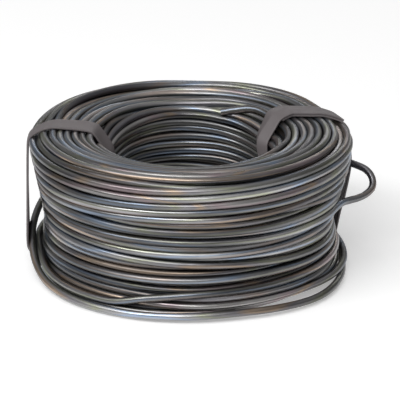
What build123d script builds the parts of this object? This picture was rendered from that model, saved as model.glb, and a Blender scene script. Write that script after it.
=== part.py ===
from build123d import *
import math
import os

# A hand coil of annealed tie wire, lying on its end, held by two flat plastic straps.
# Origin on the coil's axis at the floor, +Z up. Sizes in millimetres.

# wire
wire_dia = 1.6
turn_gap = 0.15             # the turns lie a little apart on the coil's ends
groove_depth = 0.35         # between them
edge_reach = 0.5            # how far past the ends' rounded edges they show

# the coil's section, as radii and heights at the crests of its turns
bore_r = 17.9
rim_height = 29.3           # inner edge of the upper end
crown_r = 30.0
crown_height = 31.8
shoulder_r = 35.6
shoulder_height = 29.3
waist_r = 32.3              # the outer wall is drawn in here
waist_height = 12.0
foot_r = 34.2               # the lowest turns have slumped outwards
rim_round = 2.0
crown_round = 9.0
shoulder_round = 3.2
waist_round = 6.0
foot_round = 1.8
foot_rim_round = 1.6

# straps
strap_width = 5.8
strap_thick = 0.4
strap_gap = 0.08            # between a strap and the turns that it holds
left_azimuth = 171.0
right_azimuth = 24.0
weld_length = 13.0          # how far a strap's welded ends overlap
left_weld_height = 8.0      # where the left strap's weld starts on the bore's wall
right_weld_r = 31.0         # where the right strap's upper end is cut off, on top of the coil

# the bight of wire that has sprung out of the outer wall, as azimuth, distance from the wall and height
bight_round = 3.2
bight_route = [(21.0, -3.1, 21.6), (6.5, 6.9, 19.6), (-6.5, 5.6, 16.4), (-21.0, -3.3, 17.4)]

# the wire's inner end, cut square, as azimuth, distance from the bore's wall and from the inner edge's height
end_round = 5.0
end_route = [(41.0, 5.6, -0.4), (53.0, 2.9, 1.2), (68.5, 0.7, 0.6)]

base_z = strap_thick + strap_gap    # the lowest turns lie just above the straps' lower runs


def polar(azimuth, radius, height):
    angle = math.radians(azimuth)
    return (radius * math.cos(angle), radius * math.sin(angle), height)


def section_corners(inner_r):
    """The section's corners and their rounds, from the foot of the bore out, up and in over the top."""
    return [
        ((inner_r, 0, base_z), foot_rim_round),
        ((foot_r, 0, base_z), foot_round),
        ((waist_r, 0, waist_height), waist_round),
        ((shoulder_r, 0, shoulder_height), shoulder_round),
        ((crown_r, 0, crown_height), crown_round),
        ((inner_r, 0, rim_height), rim_round),
    ]


def wall_r(height):
    """The outer wall's radius above the waist."""
    share = (height - waist_height) / (shoulder_height - waist_height)
    return waist_r + share * (shoulder_r - waist_r)


def past_round(corner, size, behind, ahead):
    """The point towards ahead that lies just past the round of a corner that is reached from behind."""
    run_in = Vector(corner) - Vector(behind)
    run_out = Vector(ahead) - Vector(corner)
    tangent_length = size * math.tan(math.radians(run_in.get_angle(run_out) / 2))
    return Vector(corner) + run_out.normalized() * (tangent_length + edge_reach)


def ridged(run):
    """A run of the section's outline as a ridge for each turn that it crosses."""
    steps = 2 * round(run.length / (wire_dia + turn_gap))
    points = []
    for step in range(steps + 1):
        at = step / steps
        inward = run.tangent_at(at).cross(Vector(0, 1, 0))
        depth = groove_depth if step % 2 else 0
        points.append(run.position_at(at) + inward * depth)
    return Polyline(*points)


def turned_coil():
    """The wound wire as one turned solid, its turns showing on both ends and round their edges."""
    bore_foot, foot, waist, shoulder, crown, rim = section_corners(bore_r)
    wall_foot = past_round(*foot, bore_foot[0], waist[0])
    wall_top = past_round(*shoulder, crown[0], waist[0])
    bore_low = past_round(*bore_foot, foot[0], rim[0])
    bore_high = past_round(*rim, crown[0], bore_foot[0])
    lower = FilletPolyline(bore_low, bore_foot[0], foot[0], wall_foot, radius=[bore_foot[1], foot[1]])
    wall = FilletPolyline(wall_foot, waist[0], wall_top, radius=waist[1])
    upper_corners = [shoulder, crown, rim]
    upper_points = [wall_top] + [point for point, _ in upper_corners] + [bore_high]
    upper = FilletPolyline(*upper_points, radius=[size for _, size in upper_corners])
    outline = [ridged(lower), wall, ridged(upper), Line(bore_high, bore_low)]
    return revolve(make_face(outline), Axis.Z)


def laid_wire(route, bend):
    """A stretch of wire along straight runs joined by bends."""
    path = FilletPolyline(*route, radius=bend)
    start = Plane(origin=path @ 0, z_dir=path % 0)
    return sweep(start * Circle(wire_dia / 2), path)


def wire_coil():
    bight_points = [polar(azimuth, wall_r(height) + out, height) for azimuth, out, height in bight_route]
    end_points = [polar(azimuth, bore_r + out, rim_height + up) for azimuth, out, up in end_route]
    bight = laid_wire(bight_points, bight_round)
    inner_end = laid_wire(end_points, end_round)
    return turned_coil() + bight + inner_end


def band(near, far):
    """A strap-wide band round the section, between two distances from the turns it is pulled over."""
    inner_r = math.sqrt(bore_r**2 - (strap_width / 2) ** 2)     # where its edges meet the bore
    corners = section_corners(inner_r)
    del corners[2]                                              # it spans the waist
    pulled = FilletPolyline(*[point for point, _ in corners], radius=[size for _, size in corners], close=True)
    hull = make_face(pulled)
    ring = offset(hull, far) - offset(hull, near)
    return extrude(ring, strap_width / 2, both=True)


def strap(azimuth, weld_zone):
    """A closed strap, double where its ends are welded over each other."""
    loop = band(strap_gap, strap_gap + strap_thick)
    weld = band(strap_gap + strap_thick, strap_gap + 2 * strap_thick) & weld_zone
    return Rot(0, 0, azimuth) * (loop + weld)


def block(low_x, high_x, low_z, high_z):
    size = (high_x - low_x, 2 * strap_width, high_z - low_z)
    return Pos((low_x + high_x) / 2, 0, (low_z + high_z) / 2) * Box(*size)


os.makedirs("parts", exist_ok=True)
parts = {
    "wire_coil": wire_coil(),
    "strap_left": strap(left_azimuth, block(0, bore_r, left_weld_height, left_weld_height + weld_length)),
    "strap_right": strap(right_azimuth, block(right_weld_r - weld_length, right_weld_r, rim_height, 2 * rim_height)),
}
for name, part in parts.items():
    export_step(part, f"parts/{name}.step")
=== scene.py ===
import math

import bmesh
import bpy
import numpy as np
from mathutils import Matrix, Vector


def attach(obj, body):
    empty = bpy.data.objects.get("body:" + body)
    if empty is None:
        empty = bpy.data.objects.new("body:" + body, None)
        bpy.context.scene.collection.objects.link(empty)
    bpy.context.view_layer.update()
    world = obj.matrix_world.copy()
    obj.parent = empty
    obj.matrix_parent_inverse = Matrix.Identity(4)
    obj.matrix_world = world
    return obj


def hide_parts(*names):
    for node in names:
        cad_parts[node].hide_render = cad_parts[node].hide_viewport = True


# A hand coil of black annealed tie wire with two flat plastic straps.
# The turns are worked out in millimetres, as radius and height at each azimuth round the coil's axis,
# and the pieces are made of them in metres.

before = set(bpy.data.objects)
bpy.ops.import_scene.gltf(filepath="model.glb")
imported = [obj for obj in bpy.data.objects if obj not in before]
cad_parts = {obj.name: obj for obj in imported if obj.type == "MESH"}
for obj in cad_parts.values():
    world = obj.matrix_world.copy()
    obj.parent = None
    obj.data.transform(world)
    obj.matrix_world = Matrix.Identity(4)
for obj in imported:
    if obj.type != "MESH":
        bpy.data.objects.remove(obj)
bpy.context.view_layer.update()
mm = 0.001


def linearColour(hexCode):
    channels = [int(hexCode[i:i + 2], 16) / 255 for i in (1, 3, 5)]
    return [c / 12.92 if c <= 0.04045 else ((c + 0.055) / 1.055) ** 2.4 for c in channels] + [1.0]


def addNode(tree, kind, settings=None, inputs=None):
    # an input is a value, or the socket of another node
    node = tree.nodes.new(kind)
    for name, value in (settings or {}).items():
        setattr(node, name, value)
    for name, value in (inputs or {}).items():
        if isinstance(value, bpy.types.NodeSocket):
            tree.links.new(value, node.inputs[name])
        else:
            node.inputs[name].default_value = value
    return node


def newMaterial(name):
    material = bpy.data.materials.new(name)
    material.use_nodes = True
    material.node_tree.nodes.clear()
    return material, material.node_tree


def newObject(name, data):
    thing = bpy.data.objects.new(name, data)
    bpy.context.scene.collection.objects.link(thing)
    return thing


def finishPiece(piece, material, node):
    piece.data.materials.clear()
    piece.data.materials.append(material)
    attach(piece, "root")
    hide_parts(node)
    print(piece.name, "made:", len(piece.data.vertices), "vertices,", len(piece.data.polygons), "faces")


def azimuthGap(azimuth, centre):
    return (azimuth - centre + 180) % 360 - 180


def fadeIn(value, start, length):
    # 0 up to start, and rising to 1 over a length
    return np.clip((value - start) / length, 0, 1)


def bump(azimuth, centre, spread):
    return np.exp(-(azimuthGap(azimuth, centre) / spread) ** 2)


def bumps(azimuth, rows):
    # smooth bumps round the coil, each as (mm, azimuth, spread in degrees)
    return sum(size * bump(azimuth, centre, spread) for size, centre, spread in rows)


def arcs(azimuth, rows):
    # flat bumps with soft ends, each as (mm, from azimuth, to azimuth, softness in degrees)
    total = 0
    for size, start, end, soft in rows:
        middle, half = (start + end) / 2, (end - start) / 2
        total = total + size * (1 / (1 + np.exp((np.abs(azimuthGap(azimuth, middle)) - half) / soft)))
    return total


# The wire of the coil. Lengths are in mm and azimuths in degrees, anticlockwise from +X.
coil = {
    "wireDia": 1.6,
    "sides": 3,                 # bevel resolution of the round wire
    "stations": 120,            # points in each turn
    "startAzimuth": 68.5,       # where the inner end is cut; the wire runs clockwise from there
    "floorGap": 0.48,           # the straps' lower runs lie under the turns
    "boreRadius": 17.9,
    "lastLayer": 34.4,          # no layer's middle lies further out
    "layerStep": 1.53,
    "rowStep": 1.62,
    "wallSlack": 0.35,          # how far a turn's place may stand past the wall's line
    "firstPlace": (19.4, 28.6),     # radius and height of the turn that goes from the cut end down into the bore
    "wander": (0.35, 0.75),     # how far a turn strays by itself, in radius and in height
    "sway": (0.25, 0.7),        # how far it strays together with the turns beside it
    "wanderLength": 19,         # in stations
    "calmDepth": 3,             # the turns within this depth of the bore and the wall stray less
    "calmBore": (0.3, 0.7),     # the share of the straying at the bore, and how much more there is within
    "calmWall": (0.55, 0.45),   # the same for the wall
    "blendStations": 9,         # over which a loose stretch leaves and rejoins its turn's place
    "looseFreedom": 9,          # how far a loose stretch may pass the section's limits
    "seed": 7,
}

# The section that the turns fill, at their crests, and where it isn't round.
section = {
    "wallHeights": [0.5, 1.4, 3.0, 7.0, 12.0, 20.0, 27.0, 29.3, 30.6],
    "wallRadii": [33.4, 34.4, 34.0, 33.1, 32.4, 33.8, 35.2, 35.5, 34.4],
    "topRadii": [17.9, 19.0, 22.0, 26.0, 30.0, 33.0, 35.0, 35.8],
    "topHeights": [28.4, 29.4, 30.3, 31.3, 31.8, 31.2, 30.0, 28.8],
    # the back corners stand out and up
    "cornersOut": [(2.5, 137, 26), (1.3, 48, 20)],
    "cornersUp": [(1.9, 132, 27), (1.2, 52, 22)],
    "cornerRadius": (27, 6),        # where the rise starts, and over what length
    "cornerLeast": 0.2,
    # the right strap draws the waist in, with a shoulder above it, and the left one draws in all the wall
    "waistIn": [(-1.1, 3, 22)],
    "waistHeight": (12, 7),         # middle and half height of the waist
    "shoulderOut": [(0.5, 8, 18)],
    "shoulderHeight": (19, 5),
    "sideIn": [(-0.6, 178, 25)],
    "sideHeight": (0, 8),
    # the lowest turns have slumped out at the left front, and not at the right and the left
    "footOut": [(1.1, -150, -88, 6), (-1.7, -58, -2, 5), (-1.8, 168, 200, 6)],
    "footHeight": (1, 3.5),         # where the slump starts to fade, and over what length
    # they hang clear of the floor at the right front
    "footUp": [(0.7, -82, -10, 5)],
    "footRadius": (27, 4),
    # at the back of the eye the upper turns hang over the ones below
    "boreOut": [(1.1, 48, 138, 8)],
    "overhangHeight": (25.2, 0.5),  # where the overhang starts, and its softness
}

# Each strap's way round the section, as (direction from the section's middle, azimuth), both in degrees,
# and how it pulls the turns in and bevels the upper end's inner corner.
straps = {
    "left": {
        "way": [(-119, 174), (-75, 181), (-60, 183), (20, 183.3), (45, 181), (58, 177.5), (68, 174.5), (78, 172.5),
                (99, 171), (125, 170), (152, 169.5)],
        "azimuth": 171.0, "reach": 15.0,
        "pull": 1.3, "chamferRadius": 21.6, "chamferHeight": 29.6, "chamferSlope": 1.9,
        "cutEnd": 0.2,      # where its upper end is cut, as a share of its loop
        "crease": 0.0,      # how far it stands up in a fold at the inner corner
        "pinch": 0.0,       # and how much narrower it is there
    },
    "right": {
        "way": [(-119, 20), (-60, 21.5), (-40, 20), (-20, 18), (0, 17), (15, 16.5), (30, 16.5), (45, 17), (58, 18.5),
                (67, 20.5), (82, 24), (96, 31), (117, 28.5), (150, 20.5)],
        "azimuth": 27.0, "reach": 20.0,
        "pull": 1.2, "chamferRadius": 22.3, "chamferHeight": 30.3, "chamferSlope": 1.2,
        "cutEnd": 0.495, "crease": 1.6, "pinch": 0.12,
    },
}
pullRadius = (20, 8)        # where the straps' pull on the upper end starts, and over what length


def plainWall(height):
    return np.interp(height, section["wallHeights"], section["wallRadii"])


def plainTop(radius):
    return np.interp(radius, section["topRadii"], section["topHeights"])


def topLimit(radius, azimuth):
    start, length = section["cornerRadius"]
    rise = np.clip((radius - start) / length, section["cornerLeast"], 1)
    top = plainTop(radius) + bumps(azimuth, section["cornersUp"]) * rise
    for strap in straps.values():
        near = bump(azimuth, strap["azimuth"], strap["reach"])
        corner = strap["chamferHeight"] - strap["chamferSlope"] * (strap["chamferRadius"] - radius)
        top = top - near * np.maximum(strap["pull"] * fadeIn(radius, *pullRadius), np.maximum(top - corner, 0))
    return top


def wallLimit(height, azimuth):
    start, length = section["footHeight"]
    slump = np.exp(-np.maximum(height - start, 0) / length) * arcs(azimuth, section["footOut"])
    middle, half = section["waistHeight"]
    waist = bumps(azimuth, section["waistIn"]) * np.exp(-((height - middle) / half) ** 2)
    side = bumps(azimuth, section["sideIn"]) * fadeIn(height, *section["sideHeight"])
    shoulder = bumps(azimuth, section["shoulderOut"]) * fadeIn(height, *section["shoulderHeight"])
    return plainWall(height) + slump + (waist + side) + shoulder + bumps(azimuth, section["cornersOut"])


def boreLimit(height, azimuth):
    start, soft = section["overhangHeight"]
    return coil["boreRadius"] + arcs(azimuth, section["boreOut"]) / (1 + np.exp((height - start) / soft))


def floorLimit(radius, azimuth):
    return coil["floorGap"] + arcs(azimuth, section["footUp"]) * fadeIn(radius, *section["footRadius"])


def confine(places, azimuth, freedom):
    # keeps the wire inside the section, apart from the loose stretches
    half = coil["wireDia"] / 2
    radius, height = places[..., 0], places[..., 1]
    np.maximum(radius, boreLimit(height, azimuth) + half, out=radius)
    np.minimum(radius, wallLimit(height, azimuth) - half + freedom, out=radius)
    np.minimum(height, topLimit(radius, azimuth) - half + freedom, out=height)
    np.maximum(height, np.maximum(floorLimit(radius, azimuth) - freedom, coil["floorGap"]) + half, out=height)


def windingSlots():
    # one place for each turn, layer by layer from the bore outwards, down one layer and up the next
    half = coil["wireDia"] / 2
    slots = [coil["firstPlace"]]
    for layer, radius in enumerate(np.arange(coil["boreRadius"] + half, coil["lastLayer"], coil["layerStep"])):
        low, high = coil["floorGap"] + half, plainTop(radius) - half
        rows = np.linspace(low, high, int((high - low) / coil["rowStep"]) + 1)
        rows = rows[radius + half <= plainWall(rows) + coil["wallSlack"]]
        if layer % 2 == 0:
            rows = rows[::-1]
        slots += [(radius, row) for row in rows]
    return np.array(slots)


def stationAzimuths():
    return coil["startAzimuth"] - 360 / coil["stations"] * np.arange(coil["stations"])


def smoothNoise(rng, count, length):
    kernel = np.exp(-0.5 * (np.arange(-4 * length, 4 * length + 1) / length) ** 2)
    noise = np.convolve(rng.standard_normal(count + 8 * length), kernel, "valid")
    return noise / noise.std()


def calmness(slots):
    # the turns that show, in the bore and on the wall, stray less than those within
    half, depth = coil["wireDia"] / 2, coil["calmDepth"]
    radius, height = slots.T
    atBore, pastBore = coil["calmBore"]
    atWall, pastWall = coil["calmWall"]
    fromBore = atBore + pastBore * fadeIn(radius - coil["boreRadius"], half, depth)
    fromWall = atWall + pastWall * fadeIn(plainWall(height) - half, radius, depth)
    return np.minimum(fromBore, fromWall)


def laidPlaces(slots, azimuth):
    # each turn's own place at each station, on its way to the next turn's slot, with its wander and sway
    turns, stations = len(slots), coil["stations"]
    rng = np.random.default_rng(coil["seed"])
    share = np.arange(stations) / stations
    following = np.vstack([slots[1:], slots[-1:]])
    laid = slots[:, None] * (1 - share)[None, :, None] + following[:, None] * share[None, :, None]
    for axis in (0, 1):
        own = smoothNoise(rng, turns * stations, coil["wanderLength"]).reshape(turns, stations)
        shared = smoothNoise(rng, turns * stations, coil["wanderLength"]).reshape(turns, stations)
        shared = sum(np.roll(shared, shift, axis=0) for shift in range(-3, 4)) / 7 ** 0.5    # over seven turns
        laid[..., axis] += coil["wander"][axis] * calmness(slots)[:, None] * own + coil["sway"][axis] * shared
    warp(laid, azimuth)
    return laid


def warp(laid, azimuth):
    # the slots follow the coil's section where the straps and the loose winding change it
    radius, height = laid[..., 0], laid[..., 1]
    height *= topLimit(radius, azimuth) / plainTop(radius)
    depth = plainWall(height) - coil["boreRadius"]
    bore = boreLimit(height, azimuth)
    radius[:] = bore + (radius - coil["boreRadius"]) * (wallLimit(height, azimuth) - bore) / depth


# Stretches that the photograph shows out of line, as azimuth, radius and height from where the wire comes in.
looseRoutes = {
    "innerEnd": [
        (68.5, 18.9, 28.7), (62, 19.8, 29.3), (55, 21.0, 30.1), (49, 21.9, 30.4), (43, 22.4, 30.1), (37, 22.6, 29.4),
        (28, 22.5, 28.9), (15, 22.1, 28.9), (0, 21.4, 29.0), (-20, 20.6, 28.9), (-45, 19.8, 28.7), (-80, 19.1, 28.4),
        (-120, 18.9, 28.3)],
    "bight": [
        (68, 33.8, 17.4), (60, 34.6, 18.4), (50, 35.4, 19.6), (38, 35.2, 20.4), (30, 35.1, 20.8), (22, 35.1, 20.9),
        (17, 35.1, 20.9), (13, 35.4, 20.9), (10.8, 36.3, 20.8), (8.8, 37.5, 20.6), (6.9, 38.8, 20.2), (5.2, 39.8, 19.3),
        (3.8, 40.2, 18.1), (2.2, 39.8, 16.8), (0, 38.2, 15.9), (-2.4, 36.5, 15.7), (-5, 34.9, 15.8), (-9, 33.5, 16.1),
        (-16, 32.7, 16.4), (-30, 32.5, 16.6), (-50, 32.6, 16.8), (-75, 32.6, 16.8)],
    "foot": [
        (40, 31.8, 1.6), (12, 32.6, 1.4), (0, 33.2, 1.3), (-11, 33.8, 1.3), (-20, 34.5, 1.3), (-31, 35.3, 1.3),
        (-41, 35.8, 1.3), (-55, 35.0, 1.5), (-72, 34.0, 1.7), (-92, 34.2, 1.5), (-110, 34.5, 1.3), (-140, 34.8, 1.4),
        (-158, 34.4, 1.7), (-170, 34.8, 4.4), (-176, 34.9, 7.4), (-184, 34.2, 10.4), (-192, 33.4, 12.2),
        (-200, 33.6, 12.6), (-215, 34.2, 11.4), (-240, 34.4, 8.4), (-265, 34.1, 5.2), (-291, 34.2, 2.5)],
    "bulgeRight": [
        (50, 31.9, 5.0), (28, 32.2, 4.4), (16, 33.0, 3.7), (3, 33.6, 3.2), (-8, 34.0, 2.9), (-16, 33.9, 2.7),
        (-27, 33.4, 2.6), (-38, 32.6, 2.8), (-60, 32.4, 3.0), (-80, 32.6, 3.0)],
    "bulgeLeft": [
        (-95, 33.4, 2.9), (-130, 33.6, 2.9), (-148, 33.4, 3.0), (-160, 33.2, 3.7), (-170, 33.1, 5.3),
        (-179, 33.1, 6.7), (-190, 32.7, 7.4), (-205, 32.4, 6.9), (-225, 32.8, 5.2)],
}
# radius and height in the winding of the turn that each belongs to; the inner end is the first turn
loosePlaces = {"bight": (33.0, 16.6), "foot": (33.6, 1.3), "bulgeRight": (33.0, 3.4), "bulgeLeft": (32.8, 3.6)}


def pickTurns(slots):
    picked = {"innerEnd": 0}
    for name, place in loosePlaces.items():
        order = np.argsort(((slots - place) ** 2).sum(1))
        picked[name] = next(int(turn) for turn in order if int(turn) not in picked.values())
    return picked


def laidRoute(route, azimuth):
    # how firmly a turn is held on its route, and where, at each station
    route = np.array(route, float)
    start, end = route[0, 0], route[-1, 0]
    middle = (start + end) / 2
    along = azimuthGap(azimuth, middle) + middle
    blend = coil["blendStations"] * 360 / coil["stations"]
    if start >= coil["startAzimuth"]:
        into = along < start + 0.1                  # the wire begins here
    else:
        into = np.clip((start - along) / blend, 0, 1)
    firmness = into * np.clip((along - end) / blend, 0, 1)
    firmness = firmness * firmness * (3 - 2 * firmness)
    order = np.argsort(route[:, 0])
    near = np.linspace(-9, 9, 13)                   # degrees over which the route's corners are rounded
    weight = np.exp(-0.5 * (near / 4) ** 2)
    weight /= weight.sum()
    place = [np.interp(along[:, None] + near, route[order, 0], route[order, axis]) @ weight for axis in (1, 2)]
    return firmness, np.stack(place, -1)


# How the turns find room beside each other: the wire swells while each turn is drawn to its place,
# straightened, and pushed off the turns that it touches.
settling = {
    "rounds": 260,
    "startSize": 0.3,       # share of the diameter that the wire starts with, so that crossings sort themselves out
    "fullSizeAt": 0.6,      # share of the rounds after which it has all of it
    "searchEvery": 8,       # rounds between the searches for turns that lie near each other
    "searchReach": 1.45,    # diameters
    "firstPull": 0.16,      # towards its place, less in each round
    "lastPull": 0.003,
    "routePull": 0.5,       # towards the route of a loose stretch
    "straighten": 0.7,
    "push": 0.8,
}


def nearPairs(places, reach):
    # indices of the pairs of turns that lie within reach of each other at each station
    turns, stations, _ = places.shape
    across = places.transpose(1, 0, 2).astype(np.float32)
    gaps = ((across[:, :, None] - across[:, None]) ** 2).sum(-1)
    upper = np.triu(np.ones((turns, turns), bool), 1)
    station, first, second = np.nonzero((gaps < reach ** 2) & upper)
    return first * stations + station, second * stations + station


def pushApart(flat, first, second, size):
    apart = flat[first] - flat[second]
    length = np.maximum(np.sqrt((apart ** 2).sum(1)), 1e-4)
    push = np.maximum(size - length, 0)[:, None] * apart / length[:, None] * 0.5       # half for each of the two
    for axis in (0, 1):
        move = np.bincount(first, push[:, axis], len(flat)) - np.bincount(second, push[:, axis], len(flat))
        flat[:, axis] += settling["push"] * move


def settle(slots, special):
    # every turn's radius and height at each station
    wire, rounds = coil["wireDia"], settling["rounds"]
    azimuth = stationAzimuths()
    target = laidPlaces(slots, azimuth)
    hold = np.zeros(target.shape[:2])
    for turn, route in special.items():
        hold[turn], place = laidRoute(route, azimuth)
        target[turn] += hold[turn][:, None] * (place - target[turn])
    freedom = coil["looseFreedom"] * hold
    places = target.copy()
    flat, aim, hold = places.reshape(-1, 2), target.reshape(-1, 2), hold.reshape(-1)
    for step in range(rounds):
        swelling = (1 - settling["startSize"]) * step / (settling["fullSizeAt"] * rounds)
        size = wire * min(1, settling["startSize"] + swelling)
        if step % settling["searchEvery"] == 0:
            first, second = nearPairs(places, wire * settling["searchReach"])
        pull = settling["firstPull"] * (1 - step / rounds) ** 2 + settling["lastPull"]
        for _ in range(2):
            flat[1:-1] += settling["straighten"] * (0.5 * (flat[:-2] + flat[2:]) - flat[1:-1])
        flat += (pull + settling["routePull"] * hold)[:, None] * (aim - flat)
        for _ in range(2):
            pushApart(flat, first, second, size)
            confine(places, azimuth, freedom)
    gap = np.sqrt(((flat[first] - flat[second]) ** 2).sum(1))
    print("wire settled:", len(slots), "turns,", int((gap < 0.9 * wire).sum()), "of", len(gap),
          "near pairs overlap by over a tenth")
    return places


def polarPoint(azimuth, radius, height):
    angle = np.radians(azimuth)
    return np.stack([radius * np.cos(angle), radius * np.sin(angle), height + 0 * radius], -1)


def smoothThrough(points, spacing):
    # a smooth line through the points, with a point about every spacing
    points = np.asarray(points, float)
    ends = np.vstack([2 * points[0] - points[1], points, 2 * points[-1] - points[-2]])
    line = []
    for a, b, c, d in zip(ends, ends[1:], ends[2:], ends[3:]):
        count = max(1, round(float(np.linalg.norm(c - b)) / spacing))
        t = (np.arange(count) / count)[:, None]
        line.append(0.5 * (2 * b + (c - a) * t + (2 * a - 5 * b + 4 * c - d) * t ** 2
                           + (3 * b - a - 3 * c + d) * t ** 3))
    return np.vstack(line + [points[-1:]])


# Where the bight is too sharp for the stations, its line is drawn through its route's own points.
bightLine = {
    "leaves": 24,           # azimuths between which it is redrawn
    "returns": -22,
    "clear": 20,            # the route's points within this azimuth are used
    "lead": 6,              # stations before and after that the line also goes through, every third one
    "spacing": 0.7,
}


def wireLine(places, picked):
    # the whole wire's points, and where each turn starts among them
    azimuth = stationAzimuths()
    turns, stations, _ = places.shape
    points = polarPoint(np.tile(azimuth, turns), places[..., 0].reshape(-1), places[..., 1].reshape(-1))
    route = np.array(looseRoutes["bight"], float)
    clear = route[np.abs(route[:, 0]) < bightLine["clear"]]
    base = picked["bight"] * stations
    first = base + int(np.argmax(azimuth < bightLine["leaves"]))
    last = base + int(np.argmax(azimuth < bightLine["returns"]))
    before, after = first - bightLine["lead"], last + bightLine["lead"] + 1
    knots = np.vstack([points[before:first + 1:3], polarPoint(*clear.T), points[last:after:3]])
    fine = smoothThrough(knots, bightLine["spacing"])
    starts = np.arange(turns + 1) * stations
    starts[starts > last] += len(fine) - (after - before)
    return np.vstack([points[:before], fine, points[after:]]), starts


def tube(name, points, along, diameter):
    # a round rod along the points; each vertex knows its place on the wire, for the material
    curve = bpy.data.curves.new(name, "CURVE")
    curve.dimensions = "3D"
    curve.bevel_depth = diameter / 2 * mm
    curve.bevel_resolution = coil["sides"]
    curve.use_fill_caps = True
    spline = curve.splines.new("POLY")
    spline.points.add(len(points) - 1)
    spline.points.foreach_set("co", np.column_stack([points * mm, np.ones(len(points))]).ravel())
    rod = newObject(name, curve)
    mesh = bpy.data.meshes.new_from_object(rod.evaluated_get(bpy.context.evaluated_depsgraph_get()))
    bpy.data.objects.remove(rod)
    mesh.shade_smooth()
    sides = len(mesh.vertices) // (len(points) + 2)
    angle = 2 * math.pi * np.arange(sides) / sides
    place = np.zeros((len(points), sides, 3))
    place[..., 0] = along[:, None]
    place[..., 1] = diameter / 2 * np.cos(angle)
    place[..., 2] = diameter / 2 * np.sin(angle)
    place = np.concatenate([place[-1:], place[:1], place])      # the two cut ends' rings come first
    attribute = mesh.attributes.new("wirePlace", "FLOAT_VECTOR", "POINT")
    attribute.data.foreach_set("vector", place.astype(np.float32).ravel())
    cut = mesh.attributes.new("cutFace", "FLOAT", "POINT")
    cut.data.foreach_set("value", np.arange(len(mesh.vertices)) < 2 * sides)
    return newObject(name, mesh)


# The band of both straps.
ribbon = {
    "width": 5.8,
    "thick": 0.4,
    "clearance": 0.06,          # off the turns
    "lap": 13.0,                # welded over itself
    "lapGap": 0.05,
    "climb": 3.0,               # length over which the far end climbs over the near one
    "along": 330,               # faces along it and lines across it
    "across": 9,
    "around": 400,              # points in the loop that each line is laid along
    "softening": 3,             # of those points, over which its corners are rounded
    "edgeRound": 0.07,
    "middle": (26.5, 15.5),     # of the coil's section, as radius and height
    "innerCorner": 130,         # direction of the upper end's inner corner from there
    "pinchSpread": 30,
    "creaseSpread": 26,
}


def turnsAt(places, azimuth):
    # every turn's radius and height at an azimuth of its own
    stations = coil["stations"]
    flat = places.reshape(-1, 2)
    station = ((coil["startAzimuth"] - azimuth) % 360) / 360 * stations
    index = np.arange(len(places)) * stations + station
    low = np.clip(np.floor(index).astype(int), 0, len(flat) - 2)
    share = (index - low)[:, None]
    return flat[low] * (1 - share) + flat[low + 1] * share


def sectionDirection(place):
    middleRadius, middleHeight = ribbon["middle"]
    return np.degrees(np.arctan2(place[..., 1] - middleHeight, place[..., 0] - middleRadius))


def ribbonAzimuth(strap, place, offset):
    # the azimuth of a line that runs an offset beside the strap's middle
    direction = sectionDirection(place)
    fromCorner = (direction - ribbon["innerCorner"]) / ribbon["pinchSpread"]
    offset = offset * (1 - strap["pinch"] * np.exp(-fromCorner ** 2))
    return np.interp(direction, *np.array(strap["way"]).T, period=360) + np.degrees(offset / place[..., 0])


def hullLine(places, strap, offset, away):
    # the tight loop round the turns along one line of a strap, as radii and heights, from the bore's foot upwards
    around = turnsAt(places, np.full(len(places), strap["azimuth"]))
    for _ in range(3):
        around = turnsAt(places, ribbonAzimuth(strap, around, offset))
    angle = -0.75 * math.pi - np.linspace(0, 2 * math.pi, 1441)     # every quarter of a degree, clockwise
    facing = np.stack([np.cos(angle), np.sin(angle)])
    outermost = np.argmax(around @ facing, axis=0)
    loop = around[outermost] + away * facing.T
    run = np.concatenate([[0], np.cumsum(np.linalg.norm(np.diff(loop, axis=0), axis=1))])
    even = np.linspace(0, run[-1], ribbon["around"], endpoint=False)
    return np.stack([np.interp(even, run, loop[:, axis]) for axis in (0, 1)], -1), run[-1]


def softened(loop, spread):
    kernel = np.exp(-0.5 * (np.arange(-3 * spread, 3 * spread + 1) / spread) ** 2)
    kernel /= kernel.sum()
    padded = np.concatenate([loop[-3 * spread:], loop, loop[:3 * spread]])
    return np.stack([np.convolve(padded[:, axis], kernel, "valid") for axis in (0, 1)], -1)


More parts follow.
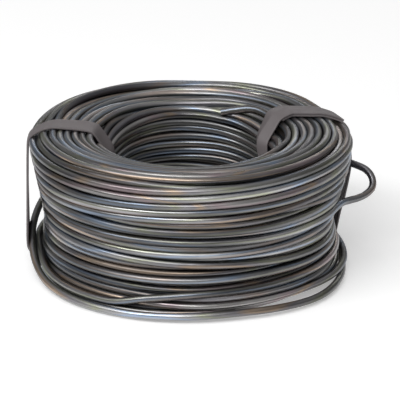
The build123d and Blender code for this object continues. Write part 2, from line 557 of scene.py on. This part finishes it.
def strapPiece(name, strap, places):
    # a flat grid bent round the turns, then given its thickness and its rounded edges
    count, gaps = ribbon["around"], ribbon["across"] - 1
    away = coil["wireDia"] / 2 + ribbon["clearance"] + ribbon["thick"] / 2
    lines = []
    for side in np.linspace(-0.5, 0.5, ribbon["across"]):
        loop, perimeter = hullLine(places, strap, side * ribbon["width"], away)
        lines.append(softened(loop, ribbon["softening"]))
    lines = np.array(lines)                                         # across, along, (radius, height)
    middle = lines.mean(0)
    tangent = np.roll(middle, -1, 0) - np.roll(middle, 1, 0)
    normal = np.stack([-tangent[:, 1], tangent[:, 0]], -1) / np.linalg.norm(tangent, axis=1)[:, None]
    normal *= np.sign(((middle - middle.mean(0)) * normal).sum(1).mean())
    length = perimeter + ribbon["lap"]
    shape = bmesh.new()
    bmesh.ops.create_grid(shape, x_segments=ribbon["along"], y_segments=gaps, size=0.5, calc_uvs=True)
    for vertex in shape.verts:
        run, side = (vertex.co.x + 0.5) * length, vertex.co.y
        at = ((run + strap["cutEnd"] * perimeter - ribbon["lap"]) / perimeter % 1) * count
        column, share = int(at) % count, at - int(at)
        line = (side + 0.5) * gaps
        row = min(int(line), gaps - 1)
        slide = line - row
        nextColumn = (column + 1) % count
        place = (lines[row, column] * (1 - slide) * (1 - share) + lines[row, nextColumn] * (1 - slide) * share
                 + lines[row + 1, column] * slide * (1 - share) + lines[row + 1, nextColumn] * slide * share)
        over = max(0.0, min(1.0, (run - perimeter + ribbon["climb"]) / ribbon["climb"]))
        lift = over * over * (3 - 2 * over) * (ribbon["thick"] + ribbon["lapGap"])
        fromCorner = (sectionDirection(place) - ribbon["innerCorner"]) / ribbon["creaseSpread"]
        lift += strap["crease"] * math.exp(-fromCorner ** 2) * (1 - abs(side) * 2)
        place = place + normal[column] * lift
        azimuth = ribbonAzimuth(strap, place, side * ribbon["width"])
        vertex.co = Vector(polarPoint(azimuth, place[0], place[1])) * mm
    mesh = bpy.data.meshes.new(name)
    shape.to_mesh(mesh)
    shape.free()
    mesh.shade_smooth()
    piece = newObject(name, mesh)
    wall = piece.modifiers.new("thickness", "SOLIDIFY")
    wall.thickness = ribbon["thick"] * mm
    wall.offset = 0
    edge = piece.modifiers.new("edges", "BEVEL")
    edge.width = ribbon["edgeRound"] * mm
    edge.segments = 2
    edge.limit_method = "ANGLE"
    print(name, "laid:", round(float(length), 1), "mm long")
    return piece


# The look of the wire. Each pattern is given by its size in mm along the wire and across it.
wireLook = {
    # tints of the oxide film, as they follow each other along the wire
    "tints": [
        ("#77757a", 0.0), ("#828183", 0.16), ("#8b817b", 0.24), ("#807f80", 0.3), ("#808285", 0.38), ("#7a8799", 0.43),
        ("#838385", 0.48), ("#858584", 0.56), ("#858777", 0.6), ("#868584", 0.65), ("#7f7d81", 0.74),
        ("#9c8b7a", 0.79), ("#868281", 0.84), ("#8c7f82", 0.92), ("#8a8887", 1.0)],
    "tintSize": (60.0, 4.0),
    "toneSize": (50.0, 6.0),
    "toneRange": (0.4, 2.2),        # of the tint's strength
    "toneContrast": 1.6,
    "fleckSize": (4.8, 0.8),
    "fleckRange": (0.86, 1.1),
    "roughness": (0.26, 0.48),
    "roughSize": (18.0, 2.0),
    "grainSize": (1.5, 0.2),        # the die's drawn grain, coarser than it is, so that it shows
    "grainStrength": 0.35,
    "grainDepth": 0.03,
    "cutSteel": "#b9b4b0",          # bare metal on the cut ends
}


def perMm(lengthwise, crosswise):
    # a pattern's scale along the wire and across it
    return 1 / lengthwise, 1 / crosswise, 1 / crosswise


def patches(tree, vector, scale, low, high, detail=2.0):
    # soft patches that use all of the range from low to high
    scaled = addNode(tree, "ShaderNodeVectorMath", {"operation": "MULTIPLY"}, {0: vector, 1: scale}).outputs[0]
    noise = addNode(tree, "ShaderNodeTexNoise", inputs={"Vector": scaled, "Scale": 1.0, "Detail": detail})
    return addNode(tree, "ShaderNodeMapRange", inputs={
        "Value": noise.outputs[0], "From Min": 0.3, "From Max": 0.7, "To Min": low, "To Max": high}).outputs[0]


def annealedSteel():
    # soft drawn wire with a thin black oxide: dark metal with long highlights, in tints that change along each turn
    look = wireLook
    material, tree = newMaterial("annealedSteelBlackOxide")
    place = addNode(tree, "ShaderNodeAttribute", {"attribute_name": "wirePlace"}).outputs["Vector"]
    tintAt = patches(tree, place, perMm(*look["tintSize"]), 0, 1, 1.0)
    ramp = addNode(tree, "ShaderNodeValToRGB", inputs={"Fac": tintAt})
    stops = ramp.color_ramp.elements
    stops.remove(stops[1])
    for shade, at in look["tints"]:
        stop = stops[0] if at == 0 else stops.new(at)
        stop.color = linearColour(shade)
    low, high = look["toneRange"]
    tone = patches(tree, place, perMm(*look["toneSize"]), 0, 1)
    tone = addNode(tree, "ShaderNodeMath", {"operation": "POWER"}, {0: tone, 1: look["toneContrast"]}).outputs[0]
    tone = addNode(tree, "ShaderNodeMath", {"operation": "MULTIPLY_ADD"}, {0: tone, 1: high - low, 2: low}).outputs[0]
    flecks = patches(tree, place, perMm(*look["fleckSize"]), *look["fleckRange"], 4.0)
    strength = addNode(tree, "ShaderNodeMath", {"operation": "MULTIPLY"}, {0: tone, 1: flecks}).outputs[0]
    oxide = addNode(tree, "ShaderNodeVectorMath", {"operation": "SCALE"}, {
        0: ramp.outputs["Color"], "Scale": strength}).outputs[0]
    roughness = patches(tree, place, perMm(*look["roughSize"]), *look["roughness"])
    grainPlace = addNode(tree, "ShaderNodeVectorMath", {"operation": "MULTIPLY"}, {
        0: place, 1: perMm(*look["grainSize"])}).outputs[0]
    grain = addNode(tree, "ShaderNodeTexNoise", inputs={"Vector": grainPlace, "Scale": 1.0, "Detail": 3.0}).outputs[0]
    relief = addNode(tree, "ShaderNodeBump", inputs={
        "Strength": look["grainStrength"], "Distance": look["grainDepth"] * mm, "Height": grain})
    cut = addNode(tree, "ShaderNodeAttribute", {"attribute_name": "cutFace"}).outputs["Fac"]
    colour = addNode(tree, "ShaderNodeMix", {"data_type": "RGBA"}, {
        0: cut, 6: oxide, 7: linearColour(look["cutSteel"])}).outputs[2]
    shader = addNode(tree, "ShaderNodeBsdfPrincipled", inputs={
        "Base Color": colour, "Metallic": 1.0, "Roughness": roughness, "Normal": relief.outputs[0]})
    addNode(tree, "ShaderNodeOutputMaterial", inputs={"Surface": shader.outputs["BSDF"]})
    return material


# The look of the straps.
strapLook = {
    "dark": "#5d5758",
    "pale": "#736d6e",
    "streaks": (40.0, 18.0, 1.0),       # in a strap's length and width, so 3 mm long and 0.3 mm wide
    "roughness": 0.55,
    "reliefStrength": 0.5,
    "reliefDepth": 0.08,                # mm
}


def strapPlastic():
    # polypropylene drawn into a strap: dull, with faint streaks along it
    look = strapLook
    material, tree = newMaterial("polypropyleneStrap")
    sheet = addNode(tree, "ShaderNodeTexCoord").outputs["UV"]
    tone = patches(tree, sheet, look["streaks"], 0.0, 1.0, 4.0)
    colour = addNode(tree, "ShaderNodeMix", {"data_type": "RGBA"}, {
        0: tone, 6: linearColour(look["dark"]), 7: linearColour(look["pale"])}).outputs[2]
    relief = addNode(tree, "ShaderNodeBump", inputs={
        "Strength": look["reliefStrength"], "Distance": look["reliefDepth"] * mm, "Height": tone})
    shader = addNode(tree, "ShaderNodeBsdfPrincipled", inputs={
        "Base Color": colour, "Roughness": look["roughness"], "Normal": relief.outputs[0]})
    addNode(tree, "ShaderNodeOutputMaterial", inputs={"Surface": shader.outputs["BSDF"]})
    return material


steel = annealedSteel()
plastic = strapPlastic()
print("materials made:", steel.name, plastic.name)

slots = windingSlots()
picked = pickTurns(slots)
places = settle(slots, {turn: looseRoutes[name] for name, turn in picked.items()})
points, starts = wireLine(places, picked)
along = np.concatenate([[0], np.cumsum(np.linalg.norm(np.diff(points, axis=0), axis=1))])
print("wire laid:", round(along[-1] * mm, 1), "m long")
thirds = [0, len(slots) // 3, 2 * len(slots) // 3, len(slots)]
for name, low, high in zip(("innerTurns", "middleTurns", "outerTurns"), thirds, thirds[1:]):
    span = slice(starts[low], starts[high] + 1)
    finishPiece(tube(name, points[span], along[span], coil["wireDia"]), steel, "wire_coil")

bightUnderStrap = 35.3      # the right strap lies over the bight, before it springs out
held = places.copy()
held[picked["bight"], :, 0] = np.minimum(held[picked["bight"], :, 0], bightUnderStrap)
for side, strap in straps.items():
    finishPiece(strapPiece(side + "Strap", strap, held), plastic, "strap_" + side)


# Floor, light and camera. Lamps are in metres and watts, and aim at the coil's middle.
studio = {
    "floorColour": "#efefef",
    "floorSize": 3.0,
    "glow": 0.32,                   # makes the floor white where it is seen
    "horizon": 0.17,
    "zenith": 0.5,
    "lamps": [
        {"name": "leftFront", "place": (-0.28, -0.46, 0.56), "size": (0.9, 0.19), "power": 4.3},
        {"name": "above", "place": (-0.1, -0.12, 0.85), "size": (0.3, 0.3), "power": 0.5},
        {"name": "back", "place": (0.15, 1.0, 0.42), "size": (0.7, 0.1), "power": 0.7},
    ],
    "lampTarget": (0, 0, 0.015),
    "cameraElevation": 20.5,
    "cameraDistance": 600.0,        # mm from the target
    "target": (0.0, 0.0, 16.0),
    "targetPixel": (190.0, 194.5),
    "focalPixels": 2743.0,
    "frame": 400,                   # the photograph's width and height in pixels
}


def seenRays(tree):
    # 1 for the rays that show the background, straight or in a reflection, and 0 for those that only light things
    rays = addNode(tree, "ShaderNodeLightPath").outputs
    some = addNode(tree, "ShaderNodeMath", {"operation": "ADD"}, {
        0: rays["Is Camera Ray"], 1: rays["Is Glossy Ray"]}).outputs[0]
    return addNode(tree, "ShaderNodeMath", {"operation": "ADD", "use_clamp": True}, {
        0: some, 1: rays["Is Transmission Ray"]}).outputs[0]


def makeFloor():
    # a white paper sweep, flat and dull
    mesh = bpy.data.meshes.new("floor")
    shape = bmesh.new()
    bmesh.ops.create_grid(shape, x_segments=1, y_segments=1, size=studio["floorSize"])
    shape.to_mesh(mesh)
    shape.free()
    material, tree = newMaterial("paperSweep")
    paper = addNode(tree, "ShaderNodeBsdfDiffuse", inputs={"Color": linearColour(studio["floorColour"])})
    glow = addNode(tree, "ShaderNodeEmission", inputs={"Strength": studio["glow"]})
    added = addNode(tree, "ShaderNodeAddShader", inputs={0: paper.outputs[0], 1: glow.outputs[0]})
    mixed = addNode(tree, "ShaderNodeMixShader", inputs={0: seenRays(tree), 1: paper.outputs[0], 2: added.outputs[0]})
    addNode(tree, "ShaderNodeOutputMaterial", inputs={"Surface": mixed.outputs[0]})
    mesh.materials.append(material)
    newObject("floor", mesh)


def makeWorld():
    # paler towards the top, so that each wire is lit from above
    world = bpy.data.worlds.new("studio")
    bpy.context.scene.world = world
    world.use_nodes = True
    tree = world.node_tree
    tree.nodes.clear()
    aim = addNode(tree, "ShaderNodeTexCoord").outputs["Generated"]
    rise = addNode(tree, "ShaderNodeSeparateXYZ", inputs={"Vector": aim}).outputs["Z"]
    level = addNode(tree, "ShaderNodeMapRange", inputs={
        "Value": rise, "From Min": 0.0, "From Max": 1.0, "To Min": studio["horizon"], "To Max": studio["zenith"]})
    sky = addNode(tree, "ShaderNodeBackground", inputs={"Color": (1, 1, 1, 1), "Strength": level.outputs[0]})
    addNode(tree, "ShaderNodeOutputWorld", inputs={"Surface": sky.outputs[0]})


def makeLamp(name, place, size, power):
    # a rectangle, which the wires show as a long highlight
    light = bpy.data.lights.new(name, "AREA")
    light.shape = "RECTANGLE"
    light.size, light.size_y = size
    light.energy = power
    lamp = newObject(name, light)
    lamp.location = place
    lamp.rotation_euler = (Vector(studio["lampTarget"]) - Vector(place)).to_track_quat("-Z", "Y").to_euler()


def makeCamera():
    data = bpy.data.cameras.new("camera")
    data.sensor_fit = "HORIZONTAL"
    data.sensor_width = 36
    data.lens = studio["focalPixels"] / studio["frame"] * data.sensor_width
    data.shift_x = (studio["frame"] / 2 - studio["targetPixel"][0]) / studio["frame"]
    data.shift_y = (studio["targetPixel"][1] - studio["frame"] / 2) / studio["frame"]
    data.clip_start, data.clip_end = 0.01, 20
    camera = newObject("camera", data)
    rise = math.radians(studio["cameraElevation"])
    target = Vector(studio["target"]) * mm
    camera.location = target + studio["cameraDistance"] * mm * Vector((0, -math.cos(rise), math.sin(rise)))
    camera.rotation_euler = (target - camera.location).to_track_quat("-Z", "Y").to_euler()
    bpy.context.scene.camera = camera


makeFloor()
makeWorld()
for lamp in studio["lamps"]:
    makeLamp(**lamp)
makeCamera()
bpy.context.scene.view_settings.view_transform = "Standard"
print("floor, light and camera made")
